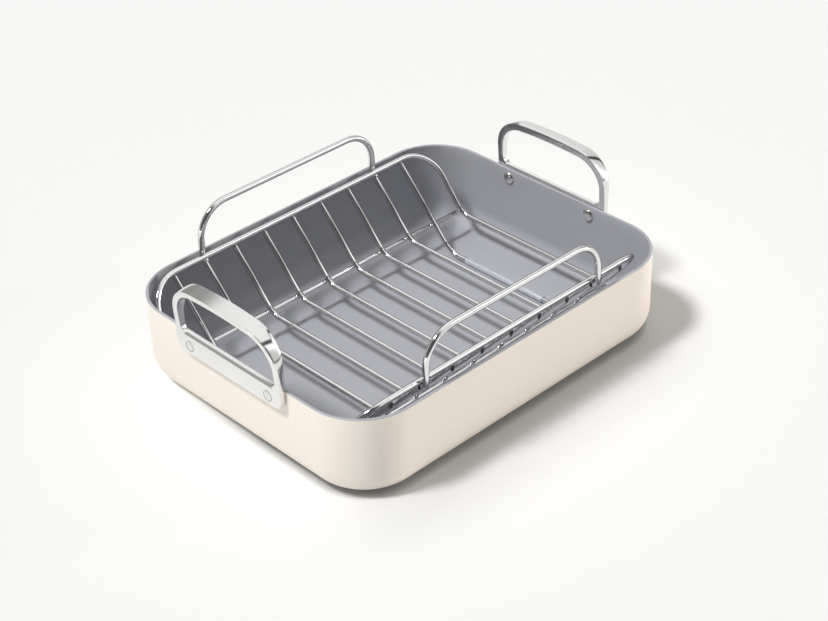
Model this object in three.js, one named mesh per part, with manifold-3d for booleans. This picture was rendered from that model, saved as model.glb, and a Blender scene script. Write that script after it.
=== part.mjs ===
// Deep roasting pan with two cast loop handles and a lift-out wire rack.
// Millimetres, +Z up. The origin is at the centre of the pan's underside and +X runs along the pan.

import * as THREE from 'three';
import { mergeVertices } from 'three/addons/utils/BufferGeometryUtils.js';
import Module from 'manifold-3d';

// Pan shell
const panLength = 420;
const panWidth = 335;
const panHeight = 90;
const panCornerRadius = 59;
const panBottomRadius = 26;
const wallThickness = 3;
const floorThickness = 3.5;
const rimRounding = 1.1;

// Clearance between two pieces that touch
const seatGap = 0.3;

// Cast loop handles, one on each end wall
const handleWidth = 147;
const handleRise = 58.6;
const barHeight = 22;
const barThickness = 5.7;
const barAboveRim = 2.6;
const barCornerRadius = 9;
const barBevel = 3;
const legThickness = 7.1;
const gripThickness = 6.4;
const gripCrown = 0.5;
const gripBowRadius = 500;
const gripSlant = 0.134;
const gripOutwardFlare = 6.6;
const gripInwardFlare = 4.2;
const flareAboveBar = 19.4;
const shoulderRadius = 36;
const windowFootRadius = 7;

// Rivets through the end walls and the handle bars
const rivetFromBarEnd = 18.5;
const rivetBelowRim = 10.5;
const rivetRadius = 5;
const rivetHeadRadius = 6.6;
const rivetHeadHeight = 2.8;

// Wire rack: stock diameters
const frameDiameter = 5.2;
const crossWireDiameter = 3.9;
const tieDiameter = 3.8;
const rackHandleDiameter = 6;
const sleeveDiameter = 6.4;

// Wire rack: layout inside the pan
const crossWireCount = 9;
const rackEndClearance = 16.4;
const rackSideClearance = 12.6;
const rackOffset = -6.5;
const railAboveRim = 2.6;
const dripHeight = 25.8;
const flatWidth = 196.6;
const frameCornerRadius = 37;
const wireBendRadius = 15;
const footBendRadius = 18;
const sleeveEndGap = 16.5;

// Wire rack: lifting handles
const rackHandleRise = 49.8;
const rackHandleCornerRadius = 33;
const rackHandleStandoff = 0.5;
const rackHandleKneeRadius = 6;
const rackHandleFootLap = 5;
const rackHandleWireFromEnd = 2;

// Facets of round stretches
const wireSides = 8;
const bendSteps = 5;
const cornerSteps = 8;
const bottomSteps = 6;
const rimSteps = 2;
const crownSteps = 2;
const roundSides = 16;
const sleeveSides = 12;

const wasm = await Module();
wasm.setup();

// Lines and levels that several pieces share
const endWall = panLength / 2;
const frameRadius = frameDiameter / 2;
const wireRadius = crossWireDiameter / 2;
const tieRadius = tieDiameter / 2;
const rackHandleRadius = rackHandleDiameter / 2;
const barTop = panHeight + barAboveRim;
const handleTop = panHeight + handleRise;
const gripDepth = gripInwardFlare + barThickness + gripOutwardFlare;
const rivetSpacing = handleWidth - 2 * rivetFromBarEnd;
const rivetHeight = panHeight - rivetBelowRim;
const railY = panWidth / 2 - wallThickness - rackSideClearance - frameRadius;
const railZ = panHeight + railAboveRim;
const flatY = flatWidth / 2;
const flatZ = floorThickness + dripHeight;
const endFrameX = endWall - wallThickness - rackEndClearance - frameRadius;
const pitch = (2 * endFrameX) / (crossWireCount + 1);

// The cross wires climb from the flat's corner and pass just outside the rail.
const railSpan = Math.hypot(railY - flatY, railZ - flatZ);
const railContact = frameRadius + wireRadius + seatGap;
const slope = Math.atan2(railZ - flatZ, railY - flatY) - Math.asin(railContact / railSpan);
const slopeLength = Math.sqrt(railSpan ** 2 - railContact ** 2);
const upSlope = { y: Math.cos(slope), z: Math.sin(slope) };
const outOfSlope = { y: Math.sin(slope), z: -Math.cos(slope) };

function slopePoint(along, outward = 0) {
  return {
    y: flatY + upSlope.y * along + outOfSlope.y * outward,
    z: flatZ + upSlope.z * along + outOfSlope.z * outward,
  };
}

// Solids and booleans
function toSolid(geometry) {
  const bare = geometry.clone();
  bare.deleteAttribute('normal');
  bare.deleteAttribute('uv');
  const merged = mergeVertices(bare, 1e-4);
  return new wasm.Manifold(new wasm.Mesh({
    numProp: 3,
    vertProperties: new Float32Array(merged.attributes.position.array),
    triVerts: new Uint32Array(merged.index.array),
  }));
}

function toGeometry(solid) {
  const mesh = solid.getMesh();
  const geometry = new THREE.BufferGeometry();
  geometry.setAttribute('position', new THREE.BufferAttribute(new Float32Array(mesh.vertProperties), 3));
  geometry.setIndex(new THREE.BufferAttribute(new Uint32Array(mesh.triVerts), 1));
  geometry.computeVertexNormals();
  return geometry;
}

function piece(name, geometry, material) {
  const mesh = new THREE.Mesh(geometry, material.clone());
  mesh.name = name;
  return mesh;
}

// Finishes
const creamEnamel = new THREE.MeshStandardMaterial({ color: 0xeee2d6, roughness: 0.45, metalness: 0 });
const castSteel = new THREE.MeshStandardMaterial({ color: 0xd4d4d2, roughness: 0.22, metalness: 1 });
const rivetSteel = new THREE.MeshStandardMaterial({ color: 0xc9c9c8, roughness: 0.2, metalness: 1 });
const wireSteel = new THREE.MeshStandardMaterial({ color: 0xcfcfcb, roughness: 0.18, metalness: 1 });
const clearSilicone = new THREE.MeshStandardMaterial({ color: 0xdfe4ee, roughness: 0.35, metalness: 0 });

// Outlines
function roundedRectangle(length, width, radius) {
  const x = length / 2;
  const y = width / 2;
  const shape = new THREE.Shape();
  shape.moveTo(-x + radius, -y);
  shape.lineTo(x - radius, -y);
  shape.absarc(x - radius, -y + radius, radius, -Math.PI / 2, 0);
  shape.lineTo(x, y - radius);
  shape.absarc(x - radius, y - radius, radius, 0, Math.PI / 2);
  shape.lineTo(-x + radius, y);
  shape.absarc(-x + radius, y - radius, radius, Math.PI / 2, Math.PI);
  shape.lineTo(-x, -y + radius);
  shape.absarc(-x + radius, -y + radius, radius, Math.PI, 1.5 * Math.PI);
  return shape;
}

// A loop outline with its own radius at the foot and at the shoulder, under a bowed top
function loopOutline(path, halfWidth, bottom, top, footRadius, topRadius, bowRadius) {
  const bowAngle = Math.asin((halfWidth - topRadius) / (bowRadius - topRadius));
  const shoulderLevel = top - bowRadius + (bowRadius - topRadius) * Math.cos(bowAngle);
  path.moveTo(-halfWidth + footRadius, bottom);
  path.lineTo(halfWidth - footRadius, bottom);
  path.absarc(halfWidth - footRadius, bottom + footRadius, footRadius, -Math.PI / 2, 0);
  path.lineTo(halfWidth, shoulderLevel);
  path.absarc(halfWidth - topRadius, shoulderLevel, topRadius, 0, Math.PI / 2 - bowAngle);
  path.absarc(0, top - bowRadius, bowRadius, Math.PI / 2 - bowAngle, Math.PI / 2 + bowAngle);
  path.absarc(-halfWidth + topRadius, shoulderLevel, topRadius, Math.PI / 2 + bowAngle, Math.PI);
  path.lineTo(-halfWidth, bottom + footRadius);
  path.absarc(-halfWidth + footRadius, bottom + footRadius, footRadius, Math.PI, 1.5 * Math.PI);
  return path;
}

// A block with the pan's plan and a round bottom edge, from the given level to well above the rim
function panBlock(inset, bottom, bottomRadius) {
  const shape = roundedRectangle(panLength - 2 * inset, panWidth - 2 * inset, panCornerRadius - inset);
  const block = new THREE.ExtrudeGeometry(shape, {
    depth: panHeight,
    bevelThickness: bottomRadius,
    bevelSize: bottomRadius,
    bevelOffset: -bottomRadius,
    bevelSegments: bottomSteps,
    curveSegments: cornerSteps / 2,
  });
  block.translate(0, 0, bottom + bottomRadius);
  return toSolid(block);
}

// The block that rounds the rim's outer edge and ends the wall at the rim
function rimBlock() {
  const shape = roundedRectangle(panLength, panWidth, panCornerRadius);
  const block = new THREE.ExtrudeGeometry(shape, {
    depth: 2 * panHeight,
    bevelThickness: rimRounding,
    bevelSize: rimRounding,
    bevelOffset: -rimRounding,
    bevelSegments: rimSteps,
    curveSegments: cornerSteps / 2,
  });
  block.translate(0, 0, -panHeight - rimRounding);
  return toSolid(block);
}

// The shallow bevel along the rim's inner edge
function rimBevel() {
  const inset = wallThickness;
  const shape = roundedRectangle(panLength - 2 * inset, panWidth - 2 * inset, panCornerRadius - inset);
  const cutter = new THREE.ExtrudeGeometry(shape, {
    depth: rimRounding,
    bevelThickness: rimRounding,
    bevelSize: rimRounding,
    bevelSegments: 1,
    curveSegments: cornerSteps / 2,
  });
  cutter.translate(0, 0, panHeight);
  return toSolid(cutter);
}

// A round bar along X at a rivet's place, long enough to pass the wall and the handle bar
function rivetDrill(side, y) {
  const length = 4 * (wallThickness + barThickness);
  const drill = new THREE.CylinderGeometry(rivetRadius + seatGap, rivetRadius + seatGap, length, roundSides);
  drill.rotateZ(Math.PI / 2);
  drill.translate(side * endWall, y, rivetHeight);
  return toSolid(drill);
}

function panBody() {
  let body = panBlock(0, 0, panBottomRadius).intersect(rimBlock());
  body = body.subtract(panBlock(wallThickness, floorThickness, panBottomRadius - wallThickness));
  body = body.subtract(rimBevel());
  for (const side of [-1, 1]) {
    for (const end of [-1, 1]) {
      body = body.subtract(rivetDrill(side, end * rivetSpacing / 2));
    }
  }
  return piece('pan_body', toGeometry(body), creamEnamel);
}

// The handle's side view: a flat bar on the wall whose legs widen upward to a deep grip above the rim.
// x is measured outward from the end wall.
function handleSideView() {
  const back = seatGap;
  const front = seatGap + barThickness;
  const barBottom = barTop - barHeight;
  const flareStart = barTop + seatGap;
  const flareTurn = barTop + flareAboveBar;
  const gripPeak = handleTop + gripSlant * gripDepth / 2;
  const side = new THREE.Shape();
  side.moveTo(back, barBottom);
  side.lineTo(front, barBottom);
  side.lineTo(front, barTop - barBevel);
  side.quadraticCurveTo(front, flareTurn, front + gripOutwardFlare, gripPeak);
  side.lineTo(back - gripInwardFlare, gripPeak);
  side.quadraticCurveTo(back, flareTurn, back, flareStart);
  side.lineTo(back, barBottom);
  const solid = new THREE.ExtrudeGeometry(side, {
    depth: 2 * handleWidth,
    bevelEnabled: false,
    curveSegments: bendSteps,
  });
  solid.rotateX(Math.PI / 2);
  solid.translate(0, handleWidth, 0);
  return toSolid(solid);
}

// The front view: a loop with crowned edges whose top falls outward, the flat bar across its foot
// and a hand opening above
function handleFrontView() {
  const half = handleWidth / 2;
  const depth = gripDepth + 2 * seatGap;
  const core = barThickness / 2;
  const middle = seatGap + (barThickness + gripOutwardFlare - gripInwardFlare) / 2;
  const outline = loopOutline(
    new THREE.Shape(), half, barTop - barHeight, handleTop, barCornerRadius, shoulderRadius, gripBowRadius);
  const block = new THREE.ExtrudeGeometry(outline, {
    depth: core,
    bevelThickness: (depth - core) / 2,
    bevelSize: gripCrown,
    bevelOffset: -gripCrown,
    bevelSegments: crownSteps,
    curveSegments: cornerSteps / 2,
  });
  block.translate(0, 0, -core / 2);
  const opening = new THREE.ExtrudeGeometry(loopOutline(
    new THREE.Shape(), half - legThickness, barTop, handleTop - gripThickness, windowFootRadius,
    shoulderRadius - gripThickness, gripBowRadius - gripThickness), {
    depth: 2 * depth,
    bevelEnabled: false,
    curveSegments: cornerSteps / 2,
  });
  opening.translate(0, 0, -depth);
  // drawn in Y and Z, with the depth along X
  const across = new THREE.Vector3(0, 1, 0);
  const up = new THREE.Vector3(0, 0, 1);
  const slanted = new THREE.Matrix4().makeBasis(across, up, new THREE.Vector3(1, 0, -gripSlant));
  const level = new THREE.Matrix4().makeBasis(across, up, new THREE.Vector3(1, 0, 0));
  const loop = toSolid(block.applyMatrix4(slanted));
  return loop.subtract(toSolid(opening.applyMatrix4(level))).translate(middle, 0, 0);
}

function handleSolid() {
  return handleFrontView().intersect(handleSideView()).subtract(barBevelCut());
}

// The slanting cut along the bar's upper front edge, between the legs
function barBevelCut() {
  const front = seatGap + barThickness;
  const cut = new THREE.Shape();
  cut.moveTo(front - barBevel, barTop);
  cut.lineTo(front, barTop - barBevel);
  cut.lineTo(front + barBevel, barTop - barBevel);
  cut.lineTo(front + barBevel, barTop + barBevel);
  cut.lineTo(front - barBevel, barTop + barBevel);
  const length = handleWidth - 2 * legThickness - 2 * windowFootRadius;
  const cutter = new THREE.ExtrudeGeometry(cut, { depth: length, bevelEnabled: false });
  cutter.rotateX(Math.PI / 2);
  cutter.translate(0, length / 2, 0);
  return toSolid(cutter);
}

function panHandle(name, side) {
  let handle = handleSolid();
  for (const end of [-1, 1]) {
    const drill = new THREE.CylinderGeometry(
      rivetRadius + seatGap, rivetRadius + seatGap, 4 * barThickness, roundSides);
    drill.rotateZ(Math.PI / 2);
    drill.translate(0, end * rivetSpacing / 2, rivetHeight);
    handle = handle.subtract(toSolid(drill));
  }
  const mesh = piece(name, toGeometry(handle), castSteel);
  mesh.rotation.z = side > 0 ? 0 : Math.PI;
  mesh.position.x = side * endWall;
  return mesh;
}

// A rivet with a low domed head inside the pan and its flush end in the handle bar's face
function rivet(name, side, y) {
  const shank = barThickness + seatGap + wallThickness + seatGap;
  const profile = [new THREE.Vector2(0, 0), new THREE.Vector2(rivetRadius, 0), new THREE.Vector2(rivetRadius, shank)];
  const domeSteps = 4;
  for (let step = 0; step <= domeSteps; step += 1) {
    const turn = (step / domeSteps) * (Math.PI / 2);
    const across = step === domeSteps ? 0 : rivetHeadRadius * Math.cos(turn);
    profile.push(new THREE.Vector2(across, shank + rivetHeadHeight * Math.sin(turn)));
  }
  const geometry = new THREE.LatheGeometry(profile, roundSides);
  geometry.rotateZ(Math.PI / 2);
  const mesh = piece(name, toGeometry(toSolid(geometry)), rivetSteel);
  mesh.rotation.z = side > 0 ? 0 : Math.PI;
  mesh.position.set(side * (endWall + seatGap + barThickness), y, rivetHeight);
  return mesh;
}

// A wire's centre line: straight runs with a true arc at each corner
class BentWire extends THREE.Curve {
  constructor(corners, radii, closed = false) {
    super();
    this.points = [];
    this.tangents = [];
    const count = corners.length;
    for (let index = 0; index < count; index += 1) {
      const isEnd = !closed && (index === 0 || index === count - 1);
      if (isEnd) {
        this.addEnd(corners, index);
      } else {
        const before = corners[(index + count - 1) % count];
        const after = corners[(index + 1) % count];
        this.addBend(before, corners[index], after, radii[index]);
      }
    }
    if (closed) {
      this.points.push(this.points[0].clone());
      this.tangents.push(this.tangents[0].clone());
    }
  }

  addEnd(corners, index) {
    const [from, to] = index === 0 ? [corners[0], corners[1]] : [corners[index - 1], corners[index]];
    this.points.push(corners[index].clone());
    this.tangents.push(to.clone().sub(from).normalize());
  }

  addBend(before, corner, after, radius) {
    const arriving = corner.clone().sub(before).normalize();
    const leaving = after.clone().sub(corner).normalize();
    const turn = arriving.angleTo(leaving);
    const setback = radius * Math.tan(turn / 2);
    const start = corner.clone().addScaledVector(arriving, -setback);
    const inward = leaving.clone().addScaledVector(arriving, -leaving.dot(arriving)).normalize();
    for (let step = 0; step <= bendSteps; step += 1) {
      const angle = (turn * step) / bendSteps;
      this.points.push(start.clone()
        .addScaledVector(arriving, radius * Math.sin(angle))
        .addScaledVector(inward, radius * (1 - Math.cos(angle))));
      this.tangents.push(arriving.clone().multiplyScalar(Math.cos(angle))
        .addScaledVector(inward, Math.sin(angle)));
    }
  }

  get steps() {
    return this.points.length - 1;
  }

  getPoint(t, target = new THREE.Vector3()) {
    const place = Math.min(t * this.steps, this.steps - 1e-9);
    const index = Math.floor(place);
    return target.lerpVectors(this.points[index], this.points[index + 1], place - index);
  }

  getPointAt(u, target) {
    return this.getPoint(u, target);
  }

  getTangentAt(u, target = new THREE.Vector3()) {
    const place = Math.min(u * this.steps, this.steps - 1e-9);
    const index = Math.floor(place);
    return target.lerpVectors(this.tangents[index], this.tangents[index + 1], place - index).normalize();
  }
}

function wireSection(radius) {
  return new THREE.Shape().absarc(0, 0, radius, 0, 2 * Math.PI);
}

function openWire(name, corners, radii, radius) {
  const path = new BentWire(corners, radii);
  const geometry = new THREE.ExtrudeGeometry(wireSection(radius), {
    steps: path.steps,
    extrudePath: path,
    bevelEnabled: false,
    curveSegments: wireSides / 2,
  });
  return piece(name, toGeometry(toSolid(geometry)), wireSteel);
}

// One wire bent round into both rails and both end bars, with its ends welded together
function rackFrame() {
  const corners = [];
  const radii = [];
  for (const end of [1, -1]) {
    for (const [y, z, radius] of [
      [end * railY, railZ, frameCornerRadius],
      [end * flatY, flatZ, wireBendRadius],
      [-end * flatY, flatZ, wireBendRadius],
      [-end * railY, railZ, frameCornerRadius],
    ]) {
      corners.push(new THREE.Vector3(end * endFrameX, y, z));
      radii.push(radius);
    }
  }
  const path = new BentWire(corners, radii, true);
  const geometry = new THREE.TubeGeometry(path, path.steps, frameRadius, wireSides, true);
  return piece('rack_frame', toGeometry(toSolid(geometry)), wireSteel);
}

// A cross wire whose flat lies at the given level; its slopes follow the rack's sides
function crossWire(name, x, flatLevel, bendRadius, upperEnd) {
  const drop = (flatZ - flatLevel) / Math.sin(slope);
  const corner = slopePoint(-drop);
  const top = slopePoint(upperEnd);
  const corners = [
    new THREE.Vector3(x, top.y, top.z),
    new THREE.Vector3(x, corner.y, corner.z),
    new THREE.Vector3(x, -corner.y, corner.z),
    new THREE.Vector3(x, -top.y, top.z),
  ];
  return openWire(name, corners, [0, bendRadius, bendRadius, 0], wireRadius);
}

const footLevel = floorThickness + seatGap + sleeveDiameter / 2;
const footCornerY = slopePoint(-(flatZ - footLevel) / Math.sin(slope)).y;
const footFlatHalf = footCornerY - footBendRadius * Math.tan(slope / 2);

// A soft tube over the flat of a foot wire, where it stands on the pan's floor
function sleeve(name, x) {
  const length = 2 * (footFlatHalf - sleeveEndGap);
  const ring = wireSection(sleeveDiameter / 2);
  ring.holes.push(new THREE.Path().absarc(0, 0, wireRadius + seatGap, 0, 2 * Math.PI));
  const geometry = new THREE.ExtrudeGeometry(ring, { depth: length, bevelEnabled: false, curveSegments: sleeveSides / 2 });
  geometry.rotateX(Math.PI / 2);
  geometry.translate(x, length / 2, footLevel);
  return piece(name, toGeometry(toSolid(geometry)), clearSilicone);
}

// A straight wire along the outside of the cross wires, half-way up their lower bends
function tieWire(name, side) {
  const bendSetback = wireBendRadius * Math.tan(slope / 2);
  const place = slopePoint(bendSetback / 2, wireRadius + tieRadius + seatGap);
  const half = endFrameX - frameRadius - seatGap;
  const corners = [
    new THREE.Vector3(-half, side * place.y, place.z),
    new THREE.Vector3(half, side * place.y, place.z),
  ];
  return openWire(name, corners, [0, 0], tieRadius);
}

// A lifting handle: its feet tuck under the rail, in line with the cross wires that they meet
const handleWireEnd = slopeLength - rackHandleFootLap;

function rackHandle(name, side) {
  const railClear = frameRadius + rackHandleRadius + seatGap;
  const outward = railClear - railContact;
  const legX = pitch * ((crossWireCount + 1) / 2 - rackHandleWireFromEnd);
  const legY = railY + railClear + rackHandleStandoff;
  const top = panHeight + rackHandleRise;
  const toe = slopePoint(handleWireEnd + seatGap, outward);
  const kneeAlong = (legY - slopePoint(0, outward).y) / upSlope.y;
  const knee = slopePoint(kneeAlong, outward);
  const corners = [];
  for (const end of [-1, 1]) {
    const leg = [
      new THREE.Vector3(end * legX, side * toe.y, toe.z),
      new THREE.Vector3(end * legX, side * legY, knee.z),
      new THREE.Vector3(end * legX, side * legY, top),
    ];
    corners.push(...(end < 0 ? leg : leg.reverse()));
  }
  const radii = [0, rackHandleKneeRadius, rackHandleCornerRadius, rackHandleCornerRadius, rackHandleKneeRadius, 0];
  return openWire(name, corners, radii, rackHandleRadius);
}

// The pan with its handles and rivets
const pan = new THREE.Group();
pan.add(panBody());
for (const [label, side] of [['left', -1], ['right', 1]]) {
  pan.add(panHandle(`pan_handle_${label}`, side));
  pan.add(rivet(`rivet_${label}_near`, side, -rivetSpacing / 2));
  pan.add(rivet(`rivet_${label}_far`, side, rivetSpacing / 2));
}

// The rack: the outermost cross wires dip to the floor as feet and carry the sleeves
const rack = new THREE.Group();
rack.position.x = rackOffset;
rack.add(rackFrame());
for (let number = 1; number <= crossWireCount; number += 1) {
  const x = pitch * (number - (crossWireCount + 1) / 2);
  const fromEnd = Math.min(number, crossWireCount + 1 - number);
  const isFoot = fromEnd === 1;
  const upperEnd = fromEnd === rackHandleWireFromEnd ? handleWireEnd : slopeLength + seatGap;
  const level = isFoot ? footLevel : flatZ;
  rack.add(crossWire(`cross_wire_${number}`, x, level, isFoot ? footBendRadius : wireBendRadius, upperEnd));
  if (isFoot) {
    rack.add(sleeve(`foot_sleeve_${number}`, x));
  }
}
for (const [label, side] of [['near', -1], ['far', 1]]) {
  rack.add(tieWire(`tie_wire_${label}`, side));
  rack.add(rackHandle(`rack_handle_${label}`, side));
}

const roastingPan = new THREE.Group();
roastingPan.add(pan, rack);

export default roastingPan;
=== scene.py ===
"""Roasting pan with two cast loop handles and a lift-out wire rack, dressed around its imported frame.

Metres, +Z up, in the frame of the CAD nodes. The pan stands on the floor at Z = 0.
"""

import math

import bmesh
import bpy
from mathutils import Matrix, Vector


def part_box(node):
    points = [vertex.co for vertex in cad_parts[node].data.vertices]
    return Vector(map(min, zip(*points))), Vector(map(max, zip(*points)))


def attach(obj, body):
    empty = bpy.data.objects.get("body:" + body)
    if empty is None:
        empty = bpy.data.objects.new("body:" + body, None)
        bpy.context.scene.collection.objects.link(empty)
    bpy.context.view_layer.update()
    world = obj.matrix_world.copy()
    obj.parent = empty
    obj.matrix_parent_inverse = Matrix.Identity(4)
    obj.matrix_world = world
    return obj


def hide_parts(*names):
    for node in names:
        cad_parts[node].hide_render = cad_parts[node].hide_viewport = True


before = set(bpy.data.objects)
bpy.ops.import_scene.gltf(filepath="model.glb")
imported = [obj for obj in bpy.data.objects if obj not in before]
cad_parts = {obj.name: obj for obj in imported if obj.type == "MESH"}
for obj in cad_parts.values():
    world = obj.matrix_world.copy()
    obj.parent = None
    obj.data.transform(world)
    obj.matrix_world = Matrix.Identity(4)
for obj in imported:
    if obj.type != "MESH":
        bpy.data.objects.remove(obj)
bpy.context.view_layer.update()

MM = 0.001
X, Y, Z = 0, 1, 2
ALONG_X = (0, math.pi / 2, 0)
ALONG_Y = (math.pi / 2, 0, 0)
SIDES = {"near": -1, "far": 1}

# How well a point, edge or face has to fit a place or direction to be picked by it
SAME_PLACE = 0.01 * MM
SAME_LEVEL = 0.05 * MM
SAME_DIRECTION = 0.999
FACING = 0.99
SIDEWAYS = 0.5

# Pan shell
PAN_CORNER = 59 * MM
PAN_CORNER_STEPS = 24
PAN_BOTTOM_ROUND = 26 * MM
PAN_BOTTOM_STEPS = 14
WALL = 3 * MM
FLOOR_RAISE = 0.5 * MM
RIM_ROUND = 1.1 * MM
RIM_STEPS = 4

# Cast loop handles
SEAT_GAP = 0.3 * MM
BAR_THICKNESS = 5.7 * MM
BAR_TOP_ABOVE_RIM = 2.6 * MM
BAR_CORNER = 9 * MM
BAR_CORNER_STEPS = 6
BAR_BEVEL = 2 * MM
BAR_FRONT_REACH = 0.5 * MM
LEG = 6.6 * MM
GRIP_CROWN = 0.5 * MM
GRIP_BOW_RADIUS = 500 * MM
GRIP_BOW_CUTS = 10
GRIP_SLANT = 0.134
SHOULDER = 36 * MM
SHOULDER_STEPS = 24
WINDOW_FOOT = 7 * MM
WINDOW_FOOT_STEPS = 6
FLARE_ABOVE_BAR = 19.4 * MM
FLARE_LEVELS = 6
FLARE_LEVEL_HEIGHT = 4 * MM
HANDLE_EDGE = 0.9 * MM
HANDLE_EDGE_STEPS = 3
HANDLE_EDGE_ANGLE = math.radians(38)

# How much of the crown the loop's outer face has at each share of its depth
CROWN_SWELL = {0.25: 0.75, 0.5: 1, 0.75: 0.75}

# Rivets
RIVET_SIDES = 48
RIVET_RADIUS = 5 * MM
RIVET_HEAD_RADIUS = 6.6 * MM
RIVET_HEAD_HEIGHT = 2.8 * MM
RIVET_DOME_STEPS = 6
RIVET_DOME_TURN = 0.9 * math.pi / 2
RIVET_END_RIM = 0.5 * MM
RIVET_END_RISE = 0.2 * MM
RIVET_GROOVE = 0.6 * MM
RIVET_GROOVE_DEPTH = 1.6 * MM

# Wire rack
CROSS_WIRES = range(1, 10)
FOOT_WIRES = (1, 9)
HANDLE_WIRES = (2, 8)
FRAME_WIRE = 5.2 * MM
CROSS_WIRE = 3.9 * MM
TIE_WIRE = 3.8 * MM
LIFT_WIRE = 6 * MM
WIRE_ROUND_STEPS = 6
WIRE_SEAM = 0.005 * MM
FLAT_HALF_WIDTH = 98.3 * MM
FRAME_CORNER = 37 * MM
WIRE_BEND = 22 * MM
FOOT_BEND = 32 * MM
BEND_STEPS = 12
LIFT_CORNER = 33 * MM
LIFT_KNEE = 6 * MM
LIFT_FOOT_LAP = 5 * MM
WIRE_END_ROUND = 0.3 * MM
WIRE_END_STEPS = 2
WIRE_PAST_RAIL = 3.5 * MM
BEAD_LENGTH = 10.5 * MM
BEAD_RADIUS = 2 * MM
BEAD_SIDES = 12
BEAD_TAPER = (0.8, 0.5)
SLEEVE_WALL = 0.7 * MM
SLEEVE_SIDES = 32
SLEEVE_EDGE = 0.3 * MM
SLEEVE_EDGE_STEPS = 2

# How the rack differs from its solids: thicker, cross wires further left, ties further up the slope
FRAME_EXTRA = 0.6 * MM
CROSS_EXTRA = 1.5 * MM
TIE_EXTRA = 0.9 * MM
LIFT_EXTRA = 0.3 * MM
SLEEVE_EXTRA = 1.3 * MM
CROSS_SHIFT = -1.4 * MM
TIE_RISE = 1.6 * MM

# Camera, as fitted to the photo's frame
IMAGE_WIDTH = 828
FOCAL_PIXELS = 1824.71
SENSOR_WIDTH = 36
EYE = Vector((-0.9976, -1.0905, 1.0289))
LOOK_AT = Vector((0.08873, 0.08059, -0.04159))
CAMERA_ROLL = math.radians(-2.11)
CAMERA_REACH = 20

# Stage: the floor, and how far the pan's shade and its contact shadow, both painted into the floor's
# colour, reach on it
FLOOR_SIZE = 12
FLOOR_PALE = (0.94, 0.94, 0.93)
FLOOR_PAINTED_SHADE = (0.52, 0.53, 0.54)
FLOOR_PAINTED_CONTACT_SHADOW = (0.25, 0.25, 0.26)
FLOOR_GLOW = (0.045, 0.045, 0.042)
BLACK = (0, 0, 0)
PAINTED_SHADE_DIRECTION = (0.35, -0.94)
PAINTED_SHADE_REACH = 0.1
PAINTED_CONTACT_REACH = 0.01
PAINTED_CONTACT_WEIGHT = 0.75
COVER_SAMPLES = 12


# Selecting and editing, as by hand
def select_only(piece):
    bpy.ops.object.select_all(action="DESELECT")
    piece.select_set(True)
    bpy.context.view_layer.objects.active = piece


def start_edit(piece):
    select_only(piece)
    bpy.ops.object.mode_set(mode="EDIT")


def end_edit():
    bpy.ops.object.mode_set(mode="OBJECT")


def middle(element):
    points = [element.co] if isinstance(element, bmesh.types.BMVert) else [v.co for v in element.verts]
    return sum(points, Vector()) / len(points)


def pick(kind, test):
    """Selects the vertices, edges or faces of the piece in edit mode that pass the test."""
    mesh = bpy.context.edit_object.data
    bpy.ops.mesh.select_mode(type=kind)
    bpy.ops.mesh.select_all(action="DESELECT")
    shape = bmesh.from_edit_mesh(mesh)
    elements = {"VERT": shape.verts, "EDGE": shape.edges, "FACE": shape.faces}[kind]
    for element in elements:
        if test(element):
            element.select_set(True)
    shape.select_flush_mode()
    bmesh.update_edit_mesh(mesh)


def pick_all():
    bpy.ops.mesh.select_all(action="SELECT")


def runs_along(edge, axis):
    along = edge.verts[1].co - edge.verts[0].co
    return abs(along.normalized()[axis]) > SAME_DIRECTION


def near(value, target):
    return abs(value - target) < SAME_LEVEL


def at(vert, place):
    return (vert.co - place).length < SAME_PLACE


def in_hundredths(length):
    """A length in millimetres to the hundredth, so that points at one level agree on it."""
    return round(length / MM, 2)


def keep_as(name):
    """Names the new primitive and puts its place in its mesh."""
    piece = bpy.context.object
    piece.name = name
    piece.data.name = name
    bpy.ops.object.transform_apply(location=True, rotation=True, scale=True)
    return piece


def add_block(name, low, high):
    """A cube stretched to the box between two corners."""
    bpy.ops.object.select_all(action="DESELECT")
    bpy.ops.mesh.primitive_cube_add(size=1, location=(low + high) / 2, scale=high - low)
    return keep_as(name)


def add_rod(name, sides, radius, length, place, turn, ends="NGON"):
    """A cylinder about a place, turned along an axis."""
    bpy.ops.object.select_all(action="DESELECT")
    bpy.ops.mesh.primitive_cylinder_add(
        vertices=sides, radius=radius, depth=length, end_fill_type=ends, location=place, rotation=turn)
    return keep_as(name)


def extrude_end(distance, narrowing, centre):
    """The picked end of a rod goes on by a distance along X and narrows about the rod's middle line."""
    bpy.ops.mesh.extrude_region_move(TRANSFORM_OT_translate={"value": (distance, 0, 0)})
    bpy.ops.transform.resize(value=(1, narrowing, narrowing), center_override=(0, centre.y, centre.z))


def apply_modifier(piece, kind, **settings):
    select_only(piece)
    modifier = piece.modifiers.new(kind.lower(), kind)
    for setting, value in settings.items():
        setattr(modifier, setting, value)
    bpy.ops.object.modifier_apply(modifier=modifier.name)


def smooth(piece, degrees):
    select_only(piece)
    bpy.ops.object.shade_smooth_by_angle(angle=math.radians(degrees))


def copy_piece(piece, name):
    twin = piece.copy()
    twin.data = piece.data.copy()
    twin.name = name
    twin.data.name = name
    bpy.context.scene.collection.objects.link(twin)
    return twin


def turn_half_round(piece):
    """Half a turn about the pan's upright middle line."""
    start_edit(piece)
    pick_all()
    bpy.ops.transform.rotate(value=math.pi, orient_axis="Z", center_override=(0, 0, 0))
    end_edit()


def finish_piece(piece, body, node, material=None):
    """A piece's material, unless it has one, and its place in the frame."""
    if material:
        piece.data.materials.append(material)
    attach(piece, body)
    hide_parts(node)


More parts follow.
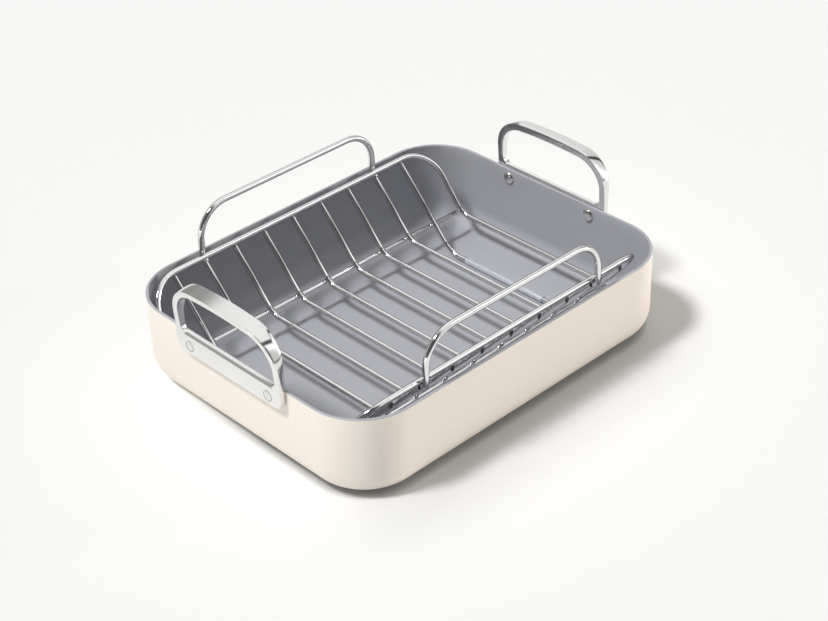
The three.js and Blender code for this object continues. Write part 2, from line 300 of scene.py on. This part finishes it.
# Shader expressions
class Value:
    """One output socket, with Python's operators for the maths on it."""

    def __init__(self, finish, socket):
        self.finish = finish
        self.socket = socket

    def maths(self, operation, *inputs):
        return self.finish.node("ShaderNodeMath", {"operation": operation}, *inputs)

    def __add__(self, other):
        return self.maths("ADD", self, other)

    __radd__ = __add__

    def __sub__(self, other):
        return self.maths("SUBTRACT", self, other)

    def __rsub__(self, other):
        return self.maths("SUBTRACT", other, self)

    def __mul__(self, other):
        return self.maths("MULTIPLY", self, other)

    __rmul__ = __mul__

    def clipped(self, start, full):
        """0 up to the start, 1 from the full value on, and straight between them."""
        sockets = {"Value": self, "From Min": start, "From Max": full}
        return self.finish.node("ShaderNodeMapRange", {"clamp": True}, **sockets)

    def __getitem__(self, name):
        """Another output of the same node."""
        return Value(self.finish, self.socket.node.outputs[name])


class Finish:
    """A material or world under construction: its shader, and nodes made by type, settings and sockets."""

    def __init__(self, name, world=None):
        self.material = world or bpy.data.materials.new(name)
        self.material.use_nodes = True
        self.nodes = self.material.node_tree.nodes
        self.links = self.material.node_tree.links
        self.shader = self.nodes["Background" if world else "Principled BSDF"]

    def node(self, kind, settings=None, *inputs, **sockets):
        """A node's first output. Unnamed inputs go in order to the sockets that its settings leave on."""
        made = self.nodes.new(kind)
        for name, value in (settings or {}).items():
            setattr(made, name, value)
        for socket, value in zip([socket for socket in made.inputs if socket.enabled], inputs):
            self.feed(socket, value)
        for name, value in sockets.items():
            self.feed(made.inputs[name], value)
        return Value(self, next(socket for socket in made.outputs if socket.enabled))

    def feed(self, socket, value):
        if isinstance(value, Value):
            self.links.new(value.socket, socket)
        else:
            socket.default_value = value

    def mix(self, factor, first, second):
        """A colour between two colours."""
        colours = [colour if isinstance(colour, Value) else (*colour, 1) for colour in (first, second)]
        return self.node("ShaderNodeMix", {"data_type": "RGBA"}, factor, *colours)

    def place(self):
        return self.node("ShaderNodeTexCoord")["Object"]

    def noise(self, scale, detail):
        return self.node("ShaderNodeTexNoise", None, Vector=self.place(), Scale=scale, Detail=detail)["Fac"]

    def bump(self, height, distance):
        return self.node("ShaderNodeBump", None, Height=height, Distance=distance, Strength=1.0)

    def set(self, **sockets):
        """Feeds the shader's sockets, named with underscores for spaces."""
        for name, value in sockets.items():
            self.feed(self.shader.inputs[name.replace("_", " ")], value)
        return self.material


def linear(red, green, blue):
    """A colour written in screen values from 0 to 255, as the linear light that shaders take."""

    def light(value):
        share = value / 255
        return ((share + 0.055) / 1.055) ** 2.4 if value > 10 else share / 12.92

    return light(red), light(green), light(blue)


def cream_enamel():
    finish = Finish("cream_enamel")
    drift = finish.noise(scale=9, detail=3)
    peel = finish.noise(scale=900, detail=2)
    return finish.set(
        Base_Color=finish.mix(drift, linear(240, 232, 222), linear(237, 228, 217)),
        Roughness=0.34 + 0.08 * finish.noise(scale=160, detail=2),
        Normal=finish.bump(peel, 0.02 * MM),
    )


def grey_ceramic():
    finish = Finish("grey_ceramic")
    drift = finish.noise(scale=14, detail=2)
    pale_speck = finish.noise(scale=2600, detail=1).clipped(0.6, 0.72)
    dark_speck = finish.noise(scale=1900, detail=1).clipped(0.62, 0.74)
    peel = finish.noise(scale=1400, detail=2)
    colour = finish.mix(drift, linear(184, 185, 190), linear(177, 178, 184))
    colour = finish.mix(0.3 * pale_speck, colour, linear(215, 216, 220))
    colour = finish.mix(0.3 * dark_speck, colour, linear(112, 113, 120))
    return finish.set(
        Base_Color=colour,
        Metallic=0.02,
        Specular_IOR_Level=0.28,
        Roughness=0.4 + 0.08 * finish.noise(scale=220, detail=2),
        Normal=finish.bump(peel, 0.02 * MM),
    )


def polished_steel(name, tint, roughness, grain, edge=None):
    """Bright steel. With edge, its colour is painted that much darker where it is seen edge on: painted
    shade for the dark surroundings that its edges reflect.
    """
    finish = Finish(name)
    haze = finish.noise(scale=70, detail=3)
    scratch = finish.noise(scale=grain, detail=2)
    colour = finish.mix(haze, linear(*tint), linear(*(value - 7 for value in tint)))
    if edge:
        # painted edge shade: the colour is mixed towards dark grey as the surface turns edge on
        turned_away = finish.node("ShaderNodeLayerWeight", None, Blend=0.5)["Facing"]
        colour = finish.mix(edge * turned_away.clipped(0.45, 0.75), colour, linear(70, 70, 70))
    return finish.set(
        Base_Color=colour,
        Metallic=1.0,
        Roughness=roughness + 0.05 * haze + 0.03 * scratch,
        Normal=finish.bump(scratch, 0.004 * MM),
    )


def clear_silicone():
    finish = Finish("clear_silicone")
    cloud = finish.noise(scale=120, detail=2)
    return finish.set(
        Base_Color=finish.mix(cloud, linear(240, 243, 250), linear(230, 235, 246)),
        Roughness=0.16 + 0.1 * cloud,
        Alpha=0.28 + 0.08 * cloud,
    )


ENAMEL = cream_enamel()
CERAMIC = grey_ceramic()
CAST_STEEL = polished_steel("cast_steel", tint=(236, 236, 235), roughness=0.09, grain=1800)
RIVET_STEEL = polished_steel("rivet_steel", tint=(230, 230, 229), roughness=0.12, grain=2400)
# the wire steel carries painted edge shade: its colour darkens where the wire is seen edge on
WIRE_STEEL = polished_steel("wire_steel", tint=(238, 238, 238), roughness=0.05, grain=2200, edge=0.85)
# the cut ends are dull, and their dark tint is painted shade for the dark surroundings they reflect
CUT_STEEL_PAINTED_DARK = polished_steel("cut_steel_painted_dark", tint=(105, 105, 104), roughness=0.45, grain=900)
SILICONE = clear_silicone()


# Pan
def make_pan_shell():
    """One open shell, cream outside, grey inside and over the rim."""
    low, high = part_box("pan_body")

    def borders_rim(edge):
        return all(near(vert.co.z, high.z) for vert in edge.verts) and any(
            abs(face.normal.z) < SIDEWAYS for face in edge.link_faces)

    pan = add_block("pan_shell", low, high)
    start_edit(pan)
    pick("EDGE", lambda edge: runs_along(edge, Z))
    bpy.ops.mesh.bevel(offset=PAN_CORNER, segments=PAN_CORNER_STEPS, affect="EDGES")
    pick("FACE", lambda face: face.normal.z > FACING)
    bpy.ops.mesh.delete(type="FACE")
    pick("EDGE", lambda edge: all(near(vert.co.z, low.z) for vert in edge.verts))
    bpy.ops.mesh.bevel(offset=PAN_BOTTOM_ROUND, segments=PAN_BOTTOM_STEPS, affect="EDGES")
    end_edit()
    pan.data.materials.append(ENAMEL)
    pan.data.materials.append(CERAMIC)
    apply_modifier(pan, "SOLIDIFY", thickness=WALL, offset=-1, use_even_offset=True, material_offset=1)
    start_edit(pan)
    pick("FACE", lambda face: face.normal.z > FACING and middle(face).z < low.z + 2 * WALL)
    bpy.ops.transform.translate(value=(0, 0, FLOOR_RAISE))
    pick("EDGE", borders_rim)
    bpy.ops.mesh.bevel(offset=RIM_ROUND, segments=RIM_STEPS, affect="EDGES")
    # the inner coat goes over the rim to its outer edge
    pick("FACE", lambda face: middle(face).z > high.z - RIM_ROUND)
    pan.active_material_index = pan.data.materials.find(CERAMIC.name)
    bpy.ops.object.material_slot_assign()
    end_edit()
    smooth(pan, degrees=40)
    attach(pan, "pan")
    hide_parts("pan_body")


def flare_share(level, start, top):
    """How far the legs have widened at a level: 0 at the bar, 1 at the grip's top."""
    if level <= start:
        return 0.0
    turn = start + FLARE_ABOVE_BAR
    # the level along the flare's curve, solved for the curve's parameter
    a = start - 2 * turn + top
    b = 2 * (turn - start)
    c = start - level
    t = (-b + math.sqrt(b * b - 4 * a * c)) / (2 * a)
    return t * t


def make_loop_handle():
    """The right handle: a loop cut from a block, with its depth drawn in at the bar."""
    low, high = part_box("pan_handle_right")
    pan_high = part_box("pan_body")[1]
    bar_top = pan_high.z + BAR_TOP_ABOVE_RIM
    bar_back = pan_high.x + SEAT_GAP
    bar_front = bar_back + BAR_THICKNESS
    peak = high.z
    low = low + Vector((0, GRIP_CROWN, GRIP_CROWN))
    high = high - Vector((0, GRIP_CROWN, GRIP_SLANT * (high.x - low.x) / 2))
    handle = add_block("loop_handle_right", low, high)
    start_edit(handle)
    pick("EDGE", lambda edge: runs_along(edge, X) and middle(edge).z > bar_top)
    bpy.ops.mesh.bevel(offset=SHOULDER, segments=SHOULDER_STEPS, affect="EDGES")
    pick("FACE", lambda face: abs(face.normal.x) > FACING)
    bpy.ops.mesh.inset(thickness=LEG, use_boundary=True, use_even_offset=True)
    bpy.ops.mesh.bridge_edge_loops()
    # the window's foot goes up to the bar's top
    window_foot = low.z + LEG
    pick("VERT", lambda vert: near(vert.co.z, window_foot))
    bpy.ops.transform.translate(value=(0, 0, bar_top - window_foot))
    pick("EDGE", lambda edge: runs_along(edge, X) and near(middle(edge).z, bar_top))
    bpy.ops.mesh.bevel(offset=WINDOW_FOOT, segments=WINDOW_FOOT_STEPS, affect="EDGES")
    pick("EDGE", lambda edge: runs_along(edge, X) and near(middle(edge).z, low.z))
    bpy.ops.mesh.bevel(offset=BAR_CORNER, segments=BAR_CORNER_STEPS, affect="EDGES")
    # levels at which the legs widen
    for step in range(FLARE_LEVELS):
        level = bar_top - BAR_BEVEL + step * FLARE_LEVEL_HEIGHT
        pick_all()
        bpy.ops.mesh.bisect(plane_co=(0, 0, level), plane_no=(0, 0, 1))
    bow_grip(high)
    crown_outer_face(low, high)
    slant_grip(low, high, bar_top + WINDOW_FOOT)
    draw_in_depth(low, high, bar_back, bar_front, bar_top, peak)
    pick("EDGE", lambda edge: runs_along(edge, Y) and near(middle(edge).z, bar_top)
         and middle(edge).x > bar_front - BAR_FRONT_REACH)
    bpy.ops.mesh.bevel(offset=BAR_BEVEL, segments=1, affect="EDGES")
    pick_all()
    bpy.ops.mesh.remove_doubles(threshold=SAME_PLACE)
    bpy.ops.mesh.normals_make_consistent(inside=False)
    end_edit()
    apply_modifier(handle, "BEVEL", width=HANDLE_EDGE, segments=HANDLE_EDGE_STEPS, limit_method="ANGLE",
                   angle_limit=HANDLE_EDGE_ANGLE)
    sink_rivet_grooves(handle, bar_front)
    smooth(handle, degrees=35)
    return handle


def bow_grip(high):
    """The grip between the shoulders is cut across and bowed. The shoulders go down with its ends."""
    straight = high.y - SHOULDER
    for cut in range(1, GRIP_BOW_CUTS):
        pick_all()
        bpy.ops.mesh.bisect(
            plane_co=(0, straight * (2 * cut / GRIP_BOW_CUTS - 1), 0), plane_no=(0, 1, 0))
    shoulder_foot = high.z - SHOULDER
    shape = bmesh.from_edit_mesh(bpy.context.edit_object.data)
    for place in sorted({in_hundredths(abs(v.co.y)) for v in shape.verts if v.co.z > shoulder_foot}):
        reach = min(place * MM, straight)
        drop = GRIP_BOW_RADIUS - math.sqrt(GRIP_BOW_RADIUS ** 2 - reach ** 2)
        pick("VERT", lambda vert: vert.co.z > shoulder_foot + drop
             and in_hundredths(abs(vert.co.y)) == place)
        bpy.ops.transform.translate(value=(0, 0, -drop))


def crown_outer_face(low, high):
    """The outer face of the loop swells between its front and back edges."""
    depth = high.x - low.x
    centre = (low + high) / 2

    def borders_outer_face(edge):
        return runs_along(edge, X) and any(
            abs(face.normal.x) < SIDEWAYS and face.normal.yz.dot((middle(face) - centre).yz) > 0
            for face in edge.link_faces)

    pick("EDGE", borders_outer_face)
    bpy.ops.mesh.subdivide(number_cuts=len(CROWN_SWELL))
    for share, swell in CROWN_SWELL.items():
        pick("VERT", lambda vert: near(vert.co.x, low.x + share * depth))
        bpy.ops.transform.shrink_fatten(value=swell * GRIP_CROWN)


def slant_grip(low, high, foot):
    """Above its foot, the outer face falls outward: each step of its depth has its own rise or drop."""
    depth = high.x - low.x
    centre = (low + high) / 2

    def on_outer_face(vert):
        return vert.normal.yz.dot((vert.co - centre).yz) > 0

    for share in (0, *CROWN_SWELL, 1):
        pick("VERT", lambda vert: vert.co.z > foot and near(vert.co.x, low.x + share * depth)
             and on_outer_face(vert))
        bpy.ops.transform.translate(value=(0, 0, GRIP_SLANT * depth * (0.5 - share)))


def draw_in_depth(low, high, bar_back, bar_front, bar_top, peak):
    """Each level of the loop is scaled and moved to its own depth, from the bar to the grip."""
    depth = high.x - low.x
    shape = bmesh.from_edit_mesh(bpy.context.edit_object.data)
    for level in sorted({in_hundredths(vert.co.z) for vert in shape.verts}):
        share = flare_share(level * MM, bar_top, peak)
        back = bar_back + (low.x - bar_back) * share
        front = bar_front + (high.x - bar_front) * share
        pick("VERT", lambda vert: in_hundredths(vert.co.z) == level)
        bpy.ops.transform.resize(value=((front - back) / depth, 1, 1), center_override=(low.x, 0, 0))
        bpy.ops.transform.translate(value=(back - low.x, 0, 0))


def sink_rivet_grooves(handle, bar_front):
    """A fine round groove in the bar's face at each rivet's end."""
    for end in SIDES:
        low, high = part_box(f"rivet_right_{end}")
        centre = (low + high) / 2
        cutter = add_rod("groove_cutter", RIVET_SIDES, RIVET_RADIUS + RIVET_GROOVE, 2 * RIVET_GROOVE_DEPTH,
                         (bar_front, centre.y, centre.z), ALONG_X)
        apply_modifier(handle, "BOOLEAN", object=cutter, operation="DIFFERENCE", solver="EXACT")
        bpy.data.objects.remove(cutter)


def make_loop_handles():
    right = make_loop_handle()
    left = copy_piece(right, "loop_handle_left")
    turn_half_round(left)
    finish_piece(right, "pan", "pan_handle_right", CAST_STEEL)
    finish_piece(left, "pan", "pan_handle_left", CAST_STEEL)


def make_rivet(name, node):
    """A rivet on the right wall: an almost flush end outside, a shank, and a low dome inside."""
    low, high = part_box(node)
    centre = (low + high) / 2
    head_foot = low.x + RIVET_HEAD_HEIGHT
    rivet = add_rod(name, RIVET_SIDES, RIVET_RADIUS, high.x - head_foot,
                    ((high.x + head_foot) / 2, centre.y, centre.z), ALONG_X)
    start_edit(rivet)
    pick("FACE", lambda face: face.normal.x < -FACING)
    extrude_end(0, RIVET_HEAD_RADIUS / RIVET_RADIUS, centre)
    for step in range(RIVET_DOME_STEPS):
        lower = step / RIVET_DOME_STEPS * RIVET_DOME_TURN
        upper = (step + 1) / RIVET_DOME_STEPS * RIVET_DOME_TURN
        rise = RIVET_HEAD_HEIGHT * (math.sin(upper) - math.sin(lower))
        extrude_end(-rise, math.cos(upper) / math.cos(lower), centre)
    pick("FACE", lambda face: face.normal.x > FACING)
    bpy.ops.mesh.inset(thickness=RIVET_END_RIM)
    bpy.ops.transform.translate(value=(RIVET_END_RISE, 0, 0))
    end_edit()
    smooth(rivet, degrees=40)
    return rivet


def make_rivets():
    """Two rivets on the right wall, and the two that half a turn makes of them on the left wall."""
    for end, other in (("near", "far"), ("far", "near")):
        right = make_rivet(f"rivet_head_right_{end}", f"rivet_right_{end}")
        left = copy_piece(right, f"rivet_head_left_{other}")
        turn_half_round(left)
        finish_piece(right, "pan", f"rivet_right_{end}", RIVET_STEEL)
        finish_piece(left, "pan", f"rivet_left_{other}", RIVET_STEEL)


# Wire rack
def draw_line(name, corners, bends, closed):
    """A line of edges from corner to corner, each corner rounded to its bend's radius."""
    bpy.ops.object.select_all(action="DESELECT")
    bpy.ops.mesh.primitive_plane_add(size=MM, location=corners[0])
    line = bpy.context.object
    line.name = name
    bpy.ops.object.transform_apply(location=True, rotation=True, scale=True)
    start_edit(line)
    bpy.ops.mesh.select_mode(type="VERT")
    pick_all()
    bpy.ops.mesh.merge(type="CENTER")
    for before, after in zip(corners, corners[1:]):
        bpy.ops.mesh.extrude_region_move(TRANSFORM_OT_translate={"value": after - before})
    if closed:
        pick("VERT", lambda vert: at(vert, corners[0]) or at(vert, corners[-1]))
        bpy.ops.mesh.edge_face_add()
    for index, radius in enumerate(bends):
        if radius:
            corner = corners[index]
            arriving = corner - corners[index - 1]
            leaving = corners[(index + 1) % len(corners)] - corner
            setback = radius * math.tan(arriving.angle(leaving) / 2)
            pick("VERT", lambda vert: at(vert, corner))
            bpy.ops.mesh.bevel(offset=setback, segments=BEND_STEPS, affect="VERTICES")
    end_edit()


def cut_ends(wire, trim):
    """Flat, dull ends with a fine round edge, in a dark tint that is painted shade. With trim, they are
    upright, that far from the middle.
    """
    pick("FACE", lambda face: len(face.verts) == 3)
    bpy.ops.mesh.dissolve_faces()
    if trim:
        for side in (1, -1):
            pick_all()
            bpy.ops.mesh.bisect(
                plane_co=(0, side * trim, 0), plane_no=(0, side, 0), use_fill=True, clear_outer=True)
    pick("EDGE", lambda edge: any(len(face.verts) > 4 for face in edge.link_faces))
    bpy.ops.mesh.bevel(offset=WIRE_END_ROUND, segments=WIRE_END_STEPS, affect="EDGES")
    pick("FACE", lambda face: len(face.verts) > 4)
    wire.active_material_index = wire.data.materials.find(CUT_STEEL_PAINTED_DARK.name)
    bpy.ops.object.material_slot_assign()


def bend_wire(name, corners, bends, thickness, closed=False, trim=None):
    """A wire drawn as a line, then given its thickness and, unless it is closed, its cut ends."""
    draw_line(name, corners, bends, closed)
    bpy.ops.object.convert(target="CURVE")
    curve = bpy.context.object.data
    curve.bevel_depth = thickness / 2
    curve.bevel_resolution = WIRE_ROUND_STEPS
    curve.use_fill_caps = True
    bpy.ops.object.convert(target="MESH")
    wire = bpy.context.object
    wire.data.name = name
    wire.data.materials.append(WIRE_STEEL)
    if not closed:
        wire.data.materials.append(CUT_STEEL_PAINTED_DARK)
    start_edit(wire)
    pick_all()
    bpy.ops.mesh.remove_doubles(threshold=WIRE_SEAM)
    bpy.ops.mesh.normals_make_consistent(inside=False)
    if not closed:
        cut_ends(wire, trim)
    end_edit()
    smooth(wire, degrees=50)
    return wire


class RackLines:
    """The lines that the rack's wires follow, worked out from the frame's boxes."""

    def __init__(self):
        low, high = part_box("rack_frame")
        half = FRAME_WIRE / 2
        self.left, self.right = low.x + half, high.x - half
        self.rail_y, self.rail_z = high.y - half, high.z - half
        self.flat_z = low.z + half
        across, up = self.rail_y - FLAT_HALF_WIDTH, self.rail_z - self.flat_z
        span = math.hypot(across, up)
        self.contact = (FRAME_WIRE + CROSS_WIRE) / 2 + SEAT_GAP
        self.slope = math.atan2(up, across) - math.asin(self.contact / span)
        self.length = math.sqrt(span ** 2 - self.contact ** 2)

    def on_slope(self, along, outward=0.0):
        """A point's Y and Z on the far side, along the slope from the flat's corner and out of it."""
        cosine, sine = math.cos(self.slope), math.sin(self.slope)
        return (FLAT_HALF_WIDTH + cosine * along + sine * outward,
                self.flat_z + sine * along - cosine * outward)

    def up_slope(self, side):
        return Vector((0, side * math.cos(self.slope), math.sin(self.slope)))

    def out_of_slope(self, side):
        return Vector((0, side * math.sin(self.slope), -math.cos(self.slope)))

    def cross_wire_x(self, number):
        low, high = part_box(f"cross_wire_{number}")
        return (low.x + high.x) / 2 + CROSS_SHIFT

    def tie_middle(self, name):
        low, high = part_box(f"tie_wire_{name}")
        return (low + high) / 2 + self.up_slope(SIDES[name]) * TIE_RISE


RACK = RackLines()


def make_rack_frame():
    corners, bends = [], []
    for end in (1, -1):
        x = RACK.right if end > 0 else RACK.left
        for y, z, radius in (
            (end * RACK.rail_y, RACK.rail_z, FRAME_CORNER),
            (end * FLAT_HALF_WIDTH, RACK.flat_z, WIRE_BEND),
            (-end * FLAT_HALF_WIDTH, RACK.flat_z, WIRE_BEND),
            (-end * RACK.rail_y, RACK.rail_z, FRAME_CORNER),
        ):
            corners.append(Vector((x, y, z)))
            bends.append(radius)
    wire = bend_wire("frame_wire", corners, bends, FRAME_WIRE + FRAME_EXTRA, closed=True)
    finish_piece(wire, "rack", "rack_frame")


def make_cross_wires():
    """They end flush with the rails' outer sides, or below the rails where a lift handle's foot goes on."""
    rail_side = RACK.rail_y + (FRAME_WIRE + FRAME_EXTRA) / 2
    for number in CROSS_WIRES:
        node = f"cross_wire_{number}"
        x = RACK.cross_wire_x(number)
        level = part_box(node)[0].z + CROSS_WIRE / 2
        bend = FOOT_BEND if number in FOOT_WIRES else WIRE_BEND
        lap, trim = (-LIFT_FOOT_LAP, None) if number in HANDLE_WIRES else (WIRE_PAST_RAIL, rail_side)
        corner_y, corner_z = RACK.on_slope((level - RACK.flat_z) / math.sin(RACK.slope))
        top_y, top_z = RACK.on_slope(RACK.length + lap)
        corners = [Vector((x, top_y, top_z)), Vector((x, corner_y, corner_z)),
                   Vector((x, -corner_y, corner_z)), Vector((x, -top_y, top_z))]
        wire = bend_wire(
            f"rack_wire_{number}", corners, [0, bend, bend, 0], CROSS_WIRE + CROSS_EXTRA, trim=trim)
        finish_piece(wire, "rack", node)


def make_tie_wires():
    for name in SIDES:
        low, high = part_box(f"tie_wire_{name}")
        y, z = RACK.tie_middle(name).yz
        corners = [Vector((low.x, y, z)), Vector((high.x, y, z))]
        wire = bend_wire(f"side_tie_{name}", corners, [0, 0], TIE_WIRE + TIE_EXTRA)
        finish_piece(wire, "rack", f"tie_wire_{name}")


def make_lift_handles():
    """Loops over the rails, with feet that tuck under them in line with the cross wires that they meet."""
    outward = (FRAME_WIRE + LIFT_WIRE) / 2 + SEAT_GAP - RACK.contact
    toe_y, toe_z = RACK.on_slope(RACK.length - LIFT_FOOT_LAP + SEAT_GAP, outward)
    foot_y, foot_z = RACK.on_slope(0, outward)
    half = LIFT_WIRE / 2
    for name, side in SIDES.items():
        low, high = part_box(f"rack_handle_{name}")
        leg_y = max(abs(low.y), abs(high.y)) - half
        knee_z = foot_z + (leg_y - foot_y) * math.tan(RACK.slope)
        corners = []
        for x in (low.x + half, high.x - half):
            leg = [Vector((x, side * toe_y, toe_z)), Vector((x, side * leg_y, knee_z)),
                   Vector((x, side * leg_y, high.z - half))]
            corners += leg[::-1] if corners else leg
        bends = [0, LIFT_KNEE, LIFT_CORNER, LIFT_CORNER, LIFT_KNEE, 0]
        wire = bend_wire(f"lift_handle_{name}", corners, bends, LIFT_WIRE + LIFT_EXTRA)
        finish_piece(wire, "rack", f"rack_handle_{name}")


def make_weld_beads():
    """A small bead of metal at each crossing of the cross wires with the ties."""
    weld = RACK.tie_middle("far") - RACK.out_of_slope(SIDES["far"]) * (TIE_WIRE + SEAT_GAP) / 2
    places = []
    for number in CROSS_WIRES:
        for side in (1, -1):
            places.append(Vector((RACK.cross_wire_x(number), side * weld.y, weld.z)))
    beads = add_rod("weld_beads", BEAD_SIDES, BEAD_RADIUS, BEAD_LENGTH / 2, places[0], ALONG_X)
    start_edit(beads)
    tapered_step = BEAD_LENGTH / 4 / len(BEAD_TAPER)
    for end in (1, -1):
        pick("FACE", lambda face: face.normal.x * end > FACING)
        for narrowing in BEAD_TAPER:
            extrude_end(end * tapered_step, narrowing, places[0])
    pick_all()
    for before, after in zip(places, places[1:]):
        bpy.ops.mesh.duplicate_move(TRANSFORM_OT_translate={"value": after - before})
    end_edit()
    smooth(beads, degrees=60)
    beads.data.materials.append(WIRE_STEEL)
    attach(beads, "rack")


def make_sleeves():
    """Thin clear tubes on the flats of the foot wires."""
    for number in FOOT_WIRES:
        node = f"foot_sleeve_{number}"
        low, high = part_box(node)
        place = (low + high) / 2 + Vector((CROSS_SHIFT, 0, 0))
        radius = (high.z - low.z + SLEEVE_EXTRA) / 2
        sleeve = add_rod(f"silicone_sleeve_{number}", SLEEVE_SIDES, radius, high.y - low.y, place, ALONG_Y,
                         ends="NOTHING")
        apply_modifier(sleeve, "SOLIDIFY", thickness=SLEEVE_WALL, offset=-1)
        apply_modifier(sleeve, "BEVEL", width=SLEEVE_EDGE, segments=SLEEVE_EDGE_STEPS, limit_method="ANGLE")
        smooth(sleeve, degrees=40)
        finish_piece(sleeve, "rack", node, SILICONE)


# Stage
def make_floor():
    """A pale floor, with the pan's shade and a contact shadow along the line where the pan stands on it
    painted into its colour.
    """
    bpy.ops.object.select_all(action="DESELECT")
    bpy.ops.mesh.primitive_plane_add(size=FLOOR_SIZE, location=(0, 0, 0))
    floor = bpy.context.object
    floor.name = "floor"
    finish = Finish("pale_floor")

    def covered(reach, start, full):
        sky = finish.node("ShaderNodeAmbientOcclusion", {"samples": COVER_SAMPLES}, Distance=reach)["AO"]
        return sky.clipped(start, full)

    split = finish.node("ShaderNodeSeparateXYZ", None, finish.place())
    towards_painted_shade = PAINTED_SHADE_DIRECTION[X] * split["X"] + PAINTED_SHADE_DIRECTION[Y] * split["Y"]
    # painted shade: the floor's colour darkens where the pan covers it from the sky, on its near and right
    # sides
    painted_shade = covered(PAINTED_SHADE_REACH, 1, 0.3) * towards_painted_shade.clipped(0.05, 0.13)
    # painted contact shadow: a thin dark line on the floor along the pan's foot, fading out towards the
    # left side
    contact = covered(PAINTED_CONTACT_REACH, 0.98, 0.4) * towards_painted_shade.clipped(-0.17, -0.05)
    ground = finish.mix(painted_shade, FLOOR_PALE, FLOOR_PAINTED_SHADE)
    ground = finish.mix(PAINTED_CONTACT_WEIGHT * contact, ground, FLOOR_PAINTED_CONTACT_SHADOW)
    path = finish.node("ShaderNodeLightPath")
    seen = path["Is Camera Ray"] + path["Is Glossy Ray"] + path["Is Transmission Ray"]
    floor.data.materials.append(finish.set(
        Base_Color=ground,
        Specular_IOR_Level=0.0,
        Roughness=0.9,
        Emission_Color=finish.mix(seen.clipped(0, 1), BLACK, FLOOR_GLOW),
        Emission_Strength=1.0,
    ))


def make_world():
    """A soft ceiling lights the object. Metal mirrors a dark room, two soft boxes and a flag across them.

    x, y and z are the direction looked in, from -1 to 1 along each axis.
    """
    world = bpy.context.scene.world or bpy.data.worlds.new("studio")
    bpy.context.scene.world = world
    studio = Finish("studio", world)
    direction = studio.node("ShaderNodeTexCoord")["Generated"]
    split = studio.node("ShaderNodeSeparateXYZ", None, direction)
    x, y, z = split["X"], split["Y"], split["Z"]
    in_front = y.clipped(-0.6, -0.68)
    fade_to_right = 1 - 0.25 * x.clipped(0.6, 0.75)
    far_box = y.clipped(0.735, 0.685) * x.clipped(-0.3, 0.0) * fade_to_right * (1 - in_front)
    far_level = 0.98 + 0.52 * y.clipped(-0.35, -0.55)
    front_box = in_front * x.clipped(-0.12, 0.06) * z.clipped(0.0, 0.1)
    front_level = 0.65 + 0.85 * y.clipped(-0.86, -0.68)
    across = y - 0.45 * x.clipped(0.42, 0.54)
    flag = across.clipped(-0.64, -0.57) * across.clipped(-0.39, -0.47)
    far_wall = 0.3 * y.clipped(0.3, 0.5) * (1 - far_box)
    room = 0.02 + 0.07 * x.clipped(0.1, -0.15)
    mirrored = room + far_wall + (far_level * far_box + front_level * front_box) * (1 - flag)
    soft = 0.03 + 0.5 * z.clipped(0.52, 0.7)
    path = studio.node("ShaderNodeLightPath")
    seen = (path["Is Camera Ray"] + path["Is Transmission Ray"]).clipped(0, 1)
    glossy = path["Is Glossy Ray"] * (1 - seen)
    studio.set(Color=(1, 1, 0.99, 1), Strength=seen + glossy * mirrored + (1 - seen - glossy) * soft)


def add_sun(name, energy, towards, degrees, colour=(1, 1, 1)):
    sun = bpy.data.objects.new(name, bpy.data.lights.new(name, "SUN"))
    bpy.context.scene.collection.objects.link(sun)
    sun.data.energy = energy
    sun.data.angle = math.radians(degrees)
    sun.data.color = colour
    sun.rotation_euler = Vector(towards).to_track_quat("-Z", "Y").to_euler()
    sun.visible_camera = False


def make_light():
    make_world()
    add_sun("key", energy=2.15, towards=(0.54, -0.26, -1), degrees=11)
    add_sun("right_fill", energy=2.35, towards=(-0.87, 0.5, -0.016), degrees=1.8, colour=(1, 0.94, 0.89))
    add_sun("left_fill", energy=0.9, towards=(1, 0.05, 0), degrees=3)


def make_camera():
    forward = (LOOK_AT - EYE).normalized()
    level_right = forward.cross(Vector((0, 0, 1))).normalized()
    level_up = level_right.cross(forward)
    right = level_right * math.cos(CAMERA_ROLL) + level_up * math.sin(CAMERA_ROLL)
    up = level_up * math.cos(CAMERA_ROLL) - level_right * math.sin(CAMERA_ROLL)
    camera = bpy.data.objects.new("camera", bpy.data.cameras.new("camera"))
    bpy.context.scene.collection.objects.link(camera)
    camera.data.sensor_width = SENSOR_WIDTH
    camera.data.lens = SENSOR_WIDTH * FOCAL_PIXELS / IMAGE_WIDTH
    camera.data.clip_end = CAMERA_REACH
    turned = camera.matrix_world.copy()
    for column, vector in enumerate((right, up, -forward, EYE)):
        turned.col[column].xyz = vector
    camera.matrix_world = turned
    bpy.context.scene.camera = camera


make_pan_shell()
make_loop_handles()
make_rivets()
make_rack_frame()
make_cross_wires()
make_tie_wires()
make_lift_handles()
make_weld_beads()
make_sleeves()
make_floor()
make_light()
make_camera()
bpy.context.scene.view_settings.view_transform = "Standard"
